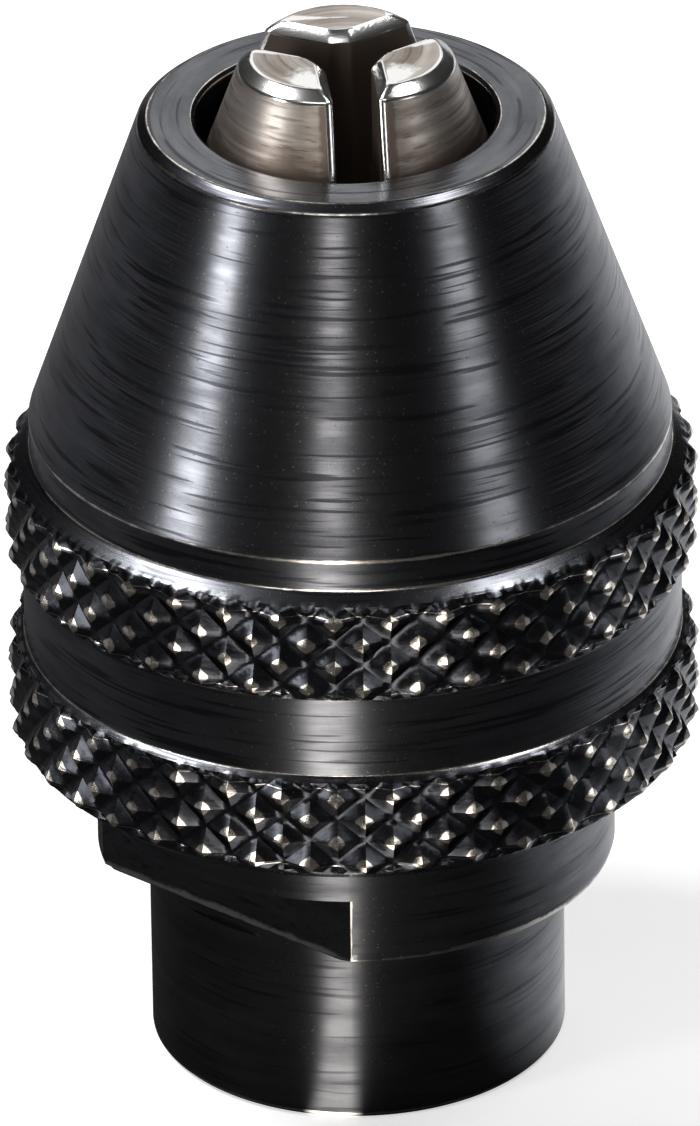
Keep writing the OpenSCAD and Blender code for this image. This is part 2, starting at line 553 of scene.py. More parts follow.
SLEEVE_BLACK = TurnedMetal(
    "sleeve_black_oxide", deep=(0.050, 0.052, 0.060), plain=(0.200, 0.205, 0.222), bright=(0.86, 0.79, 0.71),
    rough=(0.18, 0.26), bright_rough=0.20, ring_depth=6.0e-6, ring_spacing=9e-5, score_shade=0.8,
    edge_wear=0.23, crest_wear=0.62, valley_shade=1.0)
BODY_BLACK = TurnedMetal(
    "body_black_oxide", deep=(0.050, 0.052, 0.058), plain=(0.180, 0.184, 0.196), bright=(0.75, 0.72, 0.67),
    rough=(0.19, 0.27), bright_rough=0.22, ring_depth=5.0e-6, ring_spacing=9e-5, score_shade=0.4,
    edge_wear=0.32)
# On the jaws, valley_shade is painted shade on the slot faces, and the flanks darker towards the foot.
JAW_STEEL = TurnedMetal(
    "jaw_steel", deep=(0.25, 0.20, 0.165), plain=(0.82, 0.765, 0.71), bright=(0.95, 0.94, 0.92),
    rough=(0.36, 0.48), bright_rough=0.20, ring_depth=4.0e-6, ring_spacing=5e-5, band_shade=0.5,
    waver=250.0, edge_wear=0.9, mottle_scale=500.0, valley_shade=0.9)
SPRING_WIRE = TurnedMetal(
    "spring_wire", deep=(0.30, 0.30, 0.32), plain=(0.52, 0.52, 0.54), bright=(0.70, 0.70, 0.70),
    rough=(0.25, 0.36), bright_rough=0.2, ring_depth=0.4e-6, edge_wear=0.3)
GROUND_STEEL = TurnedMetal(
    "ground_steel", deep=(0.20, 0.20, 0.22), plain=(0.36, 0.36, 0.38), bright=(0.6, 0.6, 0.6),
    rough=(0.22, 0.34), bright_rough=0.2, ring_depth=0.6e-6, edge_wear=0.3)


# --- Turning ---


@dataclass(frozen=True)
class Corner:
    """One corner of a half section, in millimetres.

    Attributes:
        r: Distance from the axis.
        z: Height.
        soft: How far the corner is broken along each side; 0 leaves it sharp.
    """

    r: float
    z: float
    soft: float = 0.0


@dataclass(frozen=True)
class Zone:
    """A stretch of a section that is sampled finely, in millimetres.

    Attributes:
        low: Its lowest height.
        high: Its highest height.
        step: Distance between rows.
        r_low: Smallest radius that it holds for.
        r_high: Largest radius that it holds for.
    """

    low: float
    high: float
    step: float
    r_low: float
    r_high: float

    def cuts(self, a: tuple[float, float], b: tuple[float, float]) -> list[float]:
        """Shares along the side a-b where rows go, for a side inside the zone.

        Args:
            a: One end of the side, as radius and height.
            b: The other end.

        Returns:
            The shares, in order; none for a side outside the zone.
        """
        inside = all(self.r_low <= p[0] <= self.r_high for p in (a, b))
        if not inside or abs(b[1] - a[1]) < 1e-6:
            return []
        first = math.ceil((min(a[1], b[1]) - self.low) / self.step + 1e-6)
        last = math.floor((max(a[1], b[1]) - self.low) / self.step - 1e-6)
        heights = [self.low + k * self.step for k in range(first, last + 1)]
        shares = [(h - a[1]) / (b[1] - a[1]) for h in heights if self.low - 1e-6 <= h <= self.high + 1e-6]
        return sorted(shares)


class Section:
    """A closed half section that is turned round the axis."""

    GUARD = 0.06   # width of the plain strip kept beside a broken corner, in millimetres

    def __init__(self, corners: list[Corner], zones: list[Zone] | None = None) -> None:
        """Breaks the corners and adds the fine rows.

        Args:
            corners: The section's corners in order, all the way round.
            zones: Where rows are close together.
        """
        self.rows: list[Row] = []
        broken = [self._break(corners, k) for k in range(len(corners))]
        for k, points in enumerate(broken):
            self.rows += points
            following = broken[(k + 1) % len(broken)][0]
            self.rows += self._fill(points[-1], following, zones or [])

    def _break(self, corners: list[Corner], k: int) -> list[Row]:
        """Rows for corner k: the corner itself, or a small round with guards beside it.

        Args:
            corners: The section's corners.
            k: Which of them.

        Returns:
            The rows, in order.
        """
        c = corners[k]
        here = np.array((c.r, c.z))
        if c.soft <= 0:
            return [(c.r, c.z, 0.0)]
        sides = []
        for other in (corners[k - 1], corners[(k + 1) % len(corners)]):
            way = np.array((other.r, other.z)) - here
            length = float(np.hypot(*way))
            sides.append((way / length, length))
        shortest = min(length for _, length in sides)
        reach = min(c.soft, 0.45 * shortest)
        guard = min(self.GUARD, 0.1 * shortest)
        start, end = (here + way * reach for way, _ in sides)
        rows = [(*(here + sides[0][0] * (reach + guard)), 0.0)]
        for t, mark in ((0.0, 0.7), (0.5, 1.0), (1.0, 0.7)):
            rows.append((*rounded(start, here, end, t), mark))
        rows.append((*(here + sides[1][0] * (reach + guard)), 0.0))
        return rows

    @staticmethod
    def _fill(a: Row, b: Row, zones: list[Zone]) -> list[Row]:
        """Fine rows between two rows."""
        shares = sorted({round(s, 6) for zone in zones for s in zone.cuts(a[:2], b[:2])})
        return [(a[0] + (b[0] - a[0]) * s, a[1] + (b[1] - a[1]) * s, 0.0)
                for s in shares if 1e-4 < s < 1 - 1e-4]

    def turn(self, name: str, angles: np.ndarray, closed: bool = True) -> bpy.types.Mesh:
        """Turns the section into a closed mesh.

        Args:
            name: The mesh's name.
            angles: Where the columns stand, in radians.
            closed: Whether the last column joins the first; if not, both ends get a flat face.

        Returns:
            The mesh, with an "edge" attribute that is 1 on broken corners.
        """
        rows = np.array(self.rows)
        r, z = rows[:, 0][:, None] * MM, rows[:, 1][:, None] * MM
        points = np.stack((r * np.cos(angles), r * np.sin(angles), z + 0 * angles), axis=-1)
        grid = np.arange(len(rows) * len(angles)).reshape(len(rows), len(angles))
        caps = None if closed else [grid[::-1, 0].tolist(), grid[:, -1].tolist()]
        mesh = grid_mesh(name, points.reshape(-1, 3), grid, True, closed, caps)
        set_attribute(mesh, "edge", np.repeat(rows[:, 2], len(angles)))
        return mesh


def rounded(start: np.ndarray, corner: np.ndarray, end: np.ndarray, t: float) -> np.ndarray:
    """Point at share t of the curve that rounds a corner off from start to end."""
    return (1 - t) ** 2 * start + 2 * t * (1 - t) * corner + t ** 2 * end


def grid_faces(grid: np.ndarray, closed_rows: bool, closed_columns: bool) -> np.ndarray:
    """Quads over a grid of vertex numbers.

    Args:
        grid: Vertex numbers by row and column.
        closed_rows: Whether the last row joins the first.
        closed_columns: Whether the last column joins the first.

    Returns:
        One row of four vertex numbers per quad.
    """
    down = np.roll(grid, -1, axis=0) if closed_rows else grid[1:]
    here = grid if closed_rows else grid[:-1]
    if closed_columns:
        sides = here, np.roll(here, -1, axis=1), np.roll(down, -1, axis=1), down
    else:
        sides = here[:, :-1], here[:, 1:], down[:, 1:], down[:, :-1]
    return np.stack(sides, axis=-1).reshape(-1, 4)


def grid_mesh(name: str, points: np.ndarray, grid: np.ndarray, closed_rows: bool, closed_columns: bool,
              caps: list[list[int]] | None = None) -> bpy.types.Mesh:
    """Makes a mesh from a grid of points, with its faces outwards.

    Args:
        name: The mesh's name.
        points: The points, in metres.
        grid: Vertex numbers by row and column.
        closed_rows: Whether the last row joins the first.
        closed_columns: Whether the last column joins the first.
        caps: More faces that close the ends.

    Returns:
        The mesh.
    """
    mesh = plain_mesh(name, points, grid_faces(grid, closed_rows, closed_columns).tolist() + (caps or []))
    mesh.validate()
    return mesh


def plain_mesh(name: str, points: np.ndarray, faces: list[list[int]]) -> bpy.types.Mesh:
    """Makes a closed mesh, with its faces turned outwards.

    Args:
        name: The mesh's name.
        points: The points, in metres.
        faces: The faces' vertex numbers.

    Returns:
        The mesh.
    """
    mesh = bpy.data.meshes.new(name)
    mesh.from_pydata(points.tolist(), [], faces)
    if signed_volume(mesh) < 0:
        mesh.flip_normals()
    return mesh


def lofted(name: str, rings: np.ndarray) -> bpy.types.Mesh:
    """Joins rings of points, in metres, into a closed mesh with a flat face at each end."""
    grid = np.arange(rings.shape[0] * rings.shape[1]).reshape(rings.shape[:2])
    caps = [grid[0, ::-1].tolist(), grid[-1].tolist()]
    return grid_mesh(name, rings.reshape(-1, 3), grid, False, True, caps)


def signed_volume(mesh: bpy.types.Mesh) -> float:
    """Volume inside a closed mesh; negative when its faces point inwards.

    Args:
        mesh: The mesh, in metres.

    Returns:
        The volume, in cubic metres.
    """
    mesh.calc_loop_triangles()
    corners = np.empty(len(mesh.loop_triangles) * 3, dtype=np.int32)
    mesh.loop_triangles.foreach_get("vertices", corners)
    a, b, c = points_of(mesh)[corners.reshape(-1, 3)].transpose(1, 0, 2)
    return float(np.einsum("ij,ij->i", a, np.cross(b, c)).sum() / 6)


def points_of(mesh: bpy.types.Mesh) -> np.ndarray:
    """The mesh's vertices as an array, in metres."""
    flat = np.empty(len(mesh.vertices) * 3)
    mesh.vertices.foreach_get("co", flat)
    return flat.reshape(-1, 3)


def attribute_of(mesh: bpy.types.Mesh, name: str) -> np.ndarray:
    """The numbers that are stored on the mesh's vertices under a name."""
    values = np.zeros(len(mesh.vertices), dtype=np.float32)
    mesh.attributes[name].data.foreach_get("value", values)
    return values


def set_attribute(mesh: bpy.types.Mesh, name: str, values: np.ndarray) -> None:
    """Stores one number per vertex on the mesh, under a name."""
    layer = mesh.attributes.get(name)
    if layer is None:
        layer = mesh.attributes.new(name, "FLOAT", "POINT")
    layer.data.foreach_set("value", np.asarray(values, dtype=np.float32))


def even_angles(count: int, also: list[float] | None = None) -> np.ndarray:
    """Column angles once round, with extra ones where a milled face starts and ends.

    Args:
        count: How many even columns.
        also: More angles, in degrees.

    Returns:
        The angles, in radians, in order.
    """
    nearest = 0.006
    more = np.radians(np.array(also or [])) % (2 * math.pi)
    even = [a for a in np.arange(count) * 2 * math.pi / count if all(abs(a - m) > nearest for m in more)]
    return np.array(sorted([*even, *more]))


def crease(mesh: bpy.types.Mesh, degrees: float = 32.0) -> None:
    """Shades smoothly, with a crisp line wherever faces meet at more than an angle."""
    mesh.shade_smooth()
    mesh.set_sharp_from_angle(angle=math.radians(degrees))


# --- Geometry-node tools: each works on a turned blank or makes a piece by rule ---


class ThreadSide(Enum):
    """Which way a thread's groove is cut from its wall."""

    INTERNAL = 1.0
    EXTERNAL = -1.0


class Tools:
    """Geometry-node trees for knurling, threading and winding springs."""

    WIRE_SIDES = 10

    def __init__(self) -> None:
        """Builds every tree once."""
        self.knurl = self._knurl()
        self.thread = self._thread()
        self.spring = self._spring()

    @staticmethod
    def _polar(group: Group) -> list[Signal]:
        """Adds nodes for a point's x, y, z, distance from the axis and turn (0 to 1)."""
        x, y, z = group.parts(group.get("GeometryNodeInputPosition"))
        return [x, y, z, group.from_axis(x, y), group.math("ARCTAN2", y, x) / (2 * math.pi)]

    @staticmethod
    def _move(group: Group, shape: Signal, chosen: Signal | bool, place: Signal) -> Signal:
        """Adds a node that puts the chosen points somewhere else."""
        feeds = {"Geometry": shape, "Selection": chosen, "Position": place}
        return group.get("GeometryNodeSetPosition", feeds)

    @staticmethod
    def _end(group: Group, shape: Signal) -> bpy.types.NodeTree:
        """Ends a tree with Realize Instances and Set Material, and gives the tree."""
        real = group.get("GeometryNodeRealizeInstances", {0: shape})
        group.put("Geometry", group.get("GeometryNodeSetMaterial", {
            "Geometry": real, "Material": group["Material"]}))
        return group.tree

    def _knurl(self) -> bpy.types.NodeTree:
        """Cuts a diamond knurl into a turned band.

        The band's own outline still limits it, so a chamfer cuts the diamonds off flat.

        Returns:
            The tree.
        """
        group = Group(
            "DiamondKnurl", "GeometryNodeTree",
            {"Geometry": Sock.SHAPE, "Root Radius": 0.0084, "Depth": 0.00035, "Low": 0.0, "High": 0.003,
             "Around": 39, "Rise": 0.0013, "Crest": 0.9, "Round": 0.05, "Start": 0.0, "Phase": 0.0,
             "Uneven": 0.3, "Uneven Scale": 900.0, "Material": Sock.FINISH},
            {"Geometry": Sock.SHAPE})
        root, depth = group["Root Radius"], group["Depth"]
        x, y, z, r, turn = self._polar(group)
        along = (z - group["Start"]) / group["Rise"]
        around = turn * group["Around"] + group["Phase"]
        waves = [group.math("PINGPONG", way, 0.5) * 2.0 for way in (around + along, around - along)]
        peak = group.math("SMOOTH_MIN", *waves, group["Round"])
        peak = group.math("SMOOTH_MIN", peak, group["Crest"], group["Round"])
        spot = group.get("GeometryNodeInputPosition")
        torn = (group.noise(spot, group["Uneven Scale"], 3.0, 0.6) - 0.3) * group["Uneven"]
        left = group.math("MAXIMUM", peak - torn, 0.0)
        wanted = group.math("MINIMUM", r, root + left * depth)
        inside = group.math("GREATER_THAN", z, group["Low"]) * group.math("LESS_THAN", z, group["High"])
        inside = inside * group.math("GREATER_THAN", r, root)
        chosen = group.get("FunctionNodeCompare", {0: inside, 1: 0.5}, operation="GREATER_THAN")
        on_band = group.math("DIVIDE", r - root, depth * 0.4, clamp=True)
        shape = group["Geometry"]
        # valley: painted shade in the knurl's valleys, where the diamonds shade each other.
        for name, value in (("crest", left), ("valley", 1.0 - left)):
            shape = group.get("GeometryNodeStoreNamedAttribute", {
                "Geometry": shape, "Selection": chosen, "Name": name, "Value": value * on_band},
                data_type="FLOAT", domain="POINT")
        grow = wanted / r
        return self._end(group, self._move(group, shape, chosen, group.vector(x * grow, y * grow, z)))

    def _thread(self) -> bpy.types.NodeTree:
        """Cuts a V thread into a plain turned wall, fading out at both ends.

        Returns:
            The tree.
        """
        group = Group(
            "VThread", "GeometryNodeTree",
            {"Geometry": Sock.SHAPE, "Wall Radius": 0.0036, "Depth": 0.0004, "Pitch": 0.001, "Low": 0.0,
             "High": 0.007, "Fade": 0.0004, "Phase": 0.0, "Material": Sock.FINISH},
            {"Geometry": Sock.SHAPE})
        low, high, fade = group["Low"], group["High"], group["Fade"]
        x, y, z, r, turn = self._polar(group)
        wave = group.math("PINGPONG", z / group["Pitch"] - turn + group["Phase"], 0.5)
        ends = group.ramp(z, low, low + fade) * group.ramp(z, high, high - fade)
        groove = group.ramp(wave, 0.06, 0.44) * ends * group["Depth"]
        on_wall = group.get("FunctionNodeCompare", {0: r, 1: group["Wall Radius"], "Epsilon": 2e-6},
                            operation="EQUAL")
        grow = (r + groove) / r
        place = group.vector(x * grow, y * grow, z)
        return self._end(group, self._move(group, group["Geometry"], on_wall, place))

    def _spring(self) -> bpy.types.NodeTree:
        """Winds one compression spring with closed ends across a slot.

        Returns:
            The tree.
        """
        group = Group(
            "SlotSpring", "GeometryNodeTree",
            {"Geometry": Sock.SHAPE, "Length": 0.004, "Coil Radius": 0.0006, "Wire Radius": 0.00012,
             "Turns": 6.0, "Out": 0.003, "Height": 0.02, "Angle": 0.0, "Material": Sock.FINISH},
            {"Geometry": Sock.SHAPE})
        wire, coil, turns = group["Wire Radius"], group["Coil Radius"], group["Turns"]
        clear = group["Length"] - wire * 2.0
        helix = group.get("GeometryNodeCurveSpiral", {
            "Resolution": 20, "Rotations": turns, "Start Radius": coil, "End Radius": coil,
            "Height": clear, "Reverse": False})
        x, y, z = group.parts(group.get("GeometryNodeInputPosition"))
        shut = wire * 2.0 * turns
        share = z / clear
        height = share * shut + group.ramp(share, 0.0, 1.0) * (clear - shut)
        eased = self._move(group, helix, True, group.vector(x, y, height))
        profile = group.get("GeometryNodeCurvePrimitiveCircle", {
            "Resolution": Tools.WIRE_SIDES, "Radius": wire})
        solid = group.get("GeometryNodeCurveToMesh", {
            "Curve": eased, "Profile Curve": profile, "Fill Caps": True})
        laid = group.get("GeometryNodeTransform", {
            "Geometry": solid, "Rotation": (-math.pi / 2, 0.0, 0.0),
            "Translation": group.vector(group["Out"], clear * -0.5, group["Height"])})
        turned = group.get("GeometryNodeTransform", {
            "Geometry": laid, "Rotation": group.vector(z=group["Angle"])})
        return self._end(group, turned)

    @staticmethod
    def use(piece: bpy.types.Object, tree: bpy.types.NodeTree, values: dict[str, object]) -> None:
        """Runs a tree on a piece and keeps the result as its plain mesh.

        Args:
            piece: The object that is worked on.
            tree: The tool.
            values: The tool's inputs, by name.
        """
        modifier = piece.modifiers.new(tree.name, "NODES")
        modifier.node_group = tree
        for item in tree.interface.items_tree:
            if item.item_type == "SOCKET" and item.in_out == "INPUT" and item.name in values:
                modifier[item.identifier] = values[item.name]
        settle(piece)


def new_piece(name: str, mesh: bpy.types.Mesh) -> bpy.types.Object:
    """Adds an object with this mesh at the origin."""
    piece = bpy.data.objects.new(name, mesh)
    bpy.context.scene.collection.objects.link(piece)
    return piece


def settle(piece: bpy.types.Object) -> None:
    """Turns a piece's modifiers into a plain mesh.

    Args:
        piece: The object, which keeps its name.
    """
    bpy.context.view_layer.update()
    evaluated = piece.evaluated_get(bpy.context.evaluated_depsgraph_get())
    mesh = bpy.data.meshes.new_from_object(evaluated)
    piece.modifiers.clear()
    old = piece.data
    piece.data = mesh
    mesh.name = piece.name
    if old.users == 0:
        bpy.data.meshes.remove(old)


def hand_over(piece: bpy.types.Object, body: str, node: str, finish: bpy.types.Material,
              bend: tuple[Vector, Vector] | None = None) -> None:
    """Gives a finished piece its material and its place in the frame.

    Args:
        piece: The finished piece.
        body: The body that it moves with.
        node: The frame's node that it stands for.
        finish: Its material.
        bend: Two points along a spring half; when given, the piece is attached to no body and only has its
            transform baked in, and the points themselves are not used.
    """
    piece.data.materials.clear()
    piece.data.materials.append(finish)
    if bend:
        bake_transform(piece)
    else:
        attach(piece, body)
    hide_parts(node)
    piece.data.calc_loop_triangles()
    LOG.info("%s: %d triangles, on %s", piece.name, len(piece.data.loop_triangles), body)


# --- Sub-assemblies ---


@dataclass
class Layout:
    """Sizes that more than one sub-assembly needs, in millimetres.

    Heights that the frame knows are read from it.
    """

    sleeve_z: float = field(default_factory=lambda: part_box("nose_sleeve")[0].z / MM)
    nose_z: float = field(default_factory=lambda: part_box("nose_sleeve")[1].z / MM)
    knurl_r: float = field(default_factory=lambda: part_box("nose_sleeve")[1].x / MM)
    jaw_z: float = field(default_factory=lambda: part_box("jaw_1")[0].z / MM)
    jaw_top: float = field(default_factory=lambda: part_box("jaw_1")[1].z / MM)
    ring_z: float = field(default_factory=lambda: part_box("retaining_ring")[0].z / MM)
    ring_top: float = field(default_factory=lambda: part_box("retaining_ring")[1].z / MM)
    disc_z: float = field(default_factory=lambda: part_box("thrust_disc")[0].z / MM)
    jaw_angle: float = 336.0
    taper_angle: float = 20.0
    face_r: float = 3.36
    slot_w: float = 1.14
    slot_shut: float = 0.04
    flange_r: float = 6.55
    drive_r: float = 7.2
    drive_pitch: float = 1.0
    drive_depth: float = 0.22
    drive_from: float = 3.15
    drive_to: float = 6.9
    running: float = 0.05
    ring_outer_r: float = 7.6

    @property
    def drive_z(self) -> float:
        """Rear end of the drive thread."""
        return self.sleeve_z + self.drive_from

    @property
    def drive_top(self) -> float:
        """Front end of the drive thread."""
        return self.sleeve_z + self.drive_to

    @property
    def shut_r(self) -> float:
        """How far each jaw moves inwards to shut."""
        return (self.slot_w - self.slot_shut) / math.sqrt(3)

    def taper_r(self, z: float) -> float:
        """Radius of the closing taper at a height."""
        return self.face_r + (self.nose_z - z) * math.tan(math.radians(self.taper_angle))


@dataclass
class NoseSleeve:
    """The outer sleeve: cone, land, two knurled bands, groove, taper and drive thread.

    Sizes whose names end in _at are heights above the sleeve's rear edge.
    """

    layout: Layout
    rear_top_at: float = 3.0
    front_low_at: float = 5.15
    bevel_at: float = 7.6
    land_at: float = 8.1
    land_top_at: float = 8.9
    thread_top_at: float = 8.7
    counterbore_at: float = 8.8
    groove_r: float = 8.28
    land_r: float = 8.05
    cone_top_r: float = 5.2
    face_r: float = 4.95
    bore_r: float = 3.75
    bore_chamfer: float = 0.1
    nose_chamfer: float = 0.2
    knurl_chamfer: float = 0.25
    rear_in: float = 0.7
    rear_up: float = 0.55
    thread_from_ring: float = 0.1
    thread_fade: float = 0.5
    thread_rows: int = 6
    knurl_depth: float = 0.31
    around: int = 39
    rise: float = 1.24
    crest_row: float = 6.85
    phase: float = 0.10
    crest: float = 1.0
    crest_round: float = 0.04
    unevenness: float = 0.32
    uneven_scale: float = 900.0
    columns_per_diamond: int = 12
    rows_per_rise: int = 12
    zone_depth: float = 0.4
    crease_angle: float = 28.0

    def _corners(self) -> list[Corner]:
        """The half section, from the rear edge up the outside and back down the inside.

        Returns:
            The corners, all the way round.
        """
        p = self.layout
        base = p.sleeve_z
        rear_top, front_low = base + self.rear_top_at, base + self.front_low_at
        thread_r, groove_r = p.drive_r + p.running, p.ring_outer_r + p.running
        ring_low, ring_high = p.ring_z - p.running, p.ring_top + p.running
        taper_top = p.nose_z - (self.bore_r - p.face_r) / math.tan(math.radians(p.taper_angle))
        counterbore = base + self.counterbore_at
        outside = [
            Corner(p.knurl_r - self.rear_in, base, 0.03), Corner(p.knurl_r, base + self.rear_up, 0.02),
            Corner(p.knurl_r, rear_top - self.knurl_chamfer, 0.02), Corner(self.groove_r, rear_top, 0.05),
            Corner(self.groove_r, front_low, 0.05), Corner(p.knurl_r, front_low + self.knurl_chamfer, 0.02),
            Corner(p.knurl_r, base + self.bevel_at, 0.02), Corner(self.land_r, base + self.land_at, 0.04),
            Corner(self.land_r, base + self.land_top_at, 0.05),
            Corner(self.cone_top_r, p.nose_z - self.nose_chamfer, 0.06),
            Corner(self.face_r, p.nose_z, 0.05)]
        inside = [
            Corner(self.bore_r + self.bore_chamfer, p.nose_z, 0.03),
            Corner(self.bore_r, p.nose_z - self.bore_chamfer, 0.03),
            Corner(self.bore_r, taper_top), Corner(p.taper_r(counterbore), counterbore),
            Corner(thread_r, counterbore), Corner(thread_r, ring_high), Corner(groove_r, ring_high),
            Corner(groove_r, ring_low), Corner(thread_r, ring_low), Corner(thread_r, base, 0.03)]
        return outside + inside

    def build(self, tools: Tools, finish: bpy.types.Material) -> None:
        """Turns, threads and knurls the sleeve.

        Args:
            tools: The geometry-node tools.
            finish: The sleeve's material.
        """
        p = self.layout
        base, root, wall = p.sleeve_z, p.knurl_r - self.knurl_depth, p.drive_r + p.running
        bands = ((base, base + self.rear_top_at), (base + self.front_low_at, base + self.land_at))
        thread_low, thread_high = p.ring_top + self.thread_from_ring, base + self.thread_top_at
        step, deepest = self.rise / self.rows_per_rise, root - self.zone_depth
        zones = [Zone(low, high, step, deepest, p.knurl_r + p.running) for low, high in bands]
        zones.append(Zone(thread_low, thread_high, p.drive_pitch / self.thread_rows,
                          wall - p.running, wall + p.running))
        section = Section(self._corners(), zones)
        columns = self.around * self.columns_per_diamond
        piece = new_piece("coned_sleeve", section.turn("coned_sleeve", even_angles(columns)))
        tools.use(piece, tools.thread, {
            "Wall Radius": wall * MM, "Depth": ThreadSide.INTERNAL.value * p.drive_depth * MM,
            "Pitch": p.drive_pitch * MM, "Low": thread_low * MM, "High": thread_high * MM,
            "Fade": self.thread_fade * MM, "Material": finish})
        for low, high in bands:
            tools.use(piece, tools.knurl, {
                "Root Radius": root * MM, "Depth": self.knurl_depth * MM, "Low": low * MM,
                "High": high * MM, "Around": self.around, "Rise": self.rise * MM, "Crest": self.crest,
                "Round": self.crest_round, "Uneven": self.unevenness, "Uneven Scale": self.uneven_scale,
                "Start": (base + self.crest_row) * MM, "Phase": self.phase, "Material": finish})
        piece.data = self._facet(piece.data, len(section.rows), columns)
        crease(piece.data, self.crease_angle)
        hand_over(piece, "sleeve", "nose_sleeve", finish)

    @staticmethod
    def _facet(mesh: bpy.types.Mesh, rows: int, columns: int) -> bpy.types.Mesh:
        """Splits each face along its valley, so that the knurl's grooves run straight.

        Args:
            mesh: The knurled mesh, a grid of rows and columns.
            rows: How many rows it has.
            columns: How many columns it has.

        Returns:
            The same surface, in triangles where a face is bent and quads where it is flat.
        """
        points = points_of(mesh)
        quads = grid_faces(np.arange(rows * columns).reshape(rows, columns), True, True)
        r = np.hypot(points[:, 0], points[:, 1])[quads]
        first, second = r[:, 0] + r[:, 2], r[:, 1] + r[:, 3]
        flat = np.abs(first - second) < 1e-9
        low_first = ~flat & (first < second)
        low_second = ~flat & ~low_first
        halves = [quads[low_first][:, [0, 1, 2]], quads[low_first][:, [0, 2, 3]],
                  quads[low_second][:, [1, 2, 3]], quads[low_second][:, [1, 3, 0]]]
        made = plain_mesh(mesh.name, points, quads[flat].tolist() + np.concatenate(halves).tolist())
        for name in ("edge", "crest", "valley"):
            set_attribute(made, name, attribute_of(mesh, name))
        return made


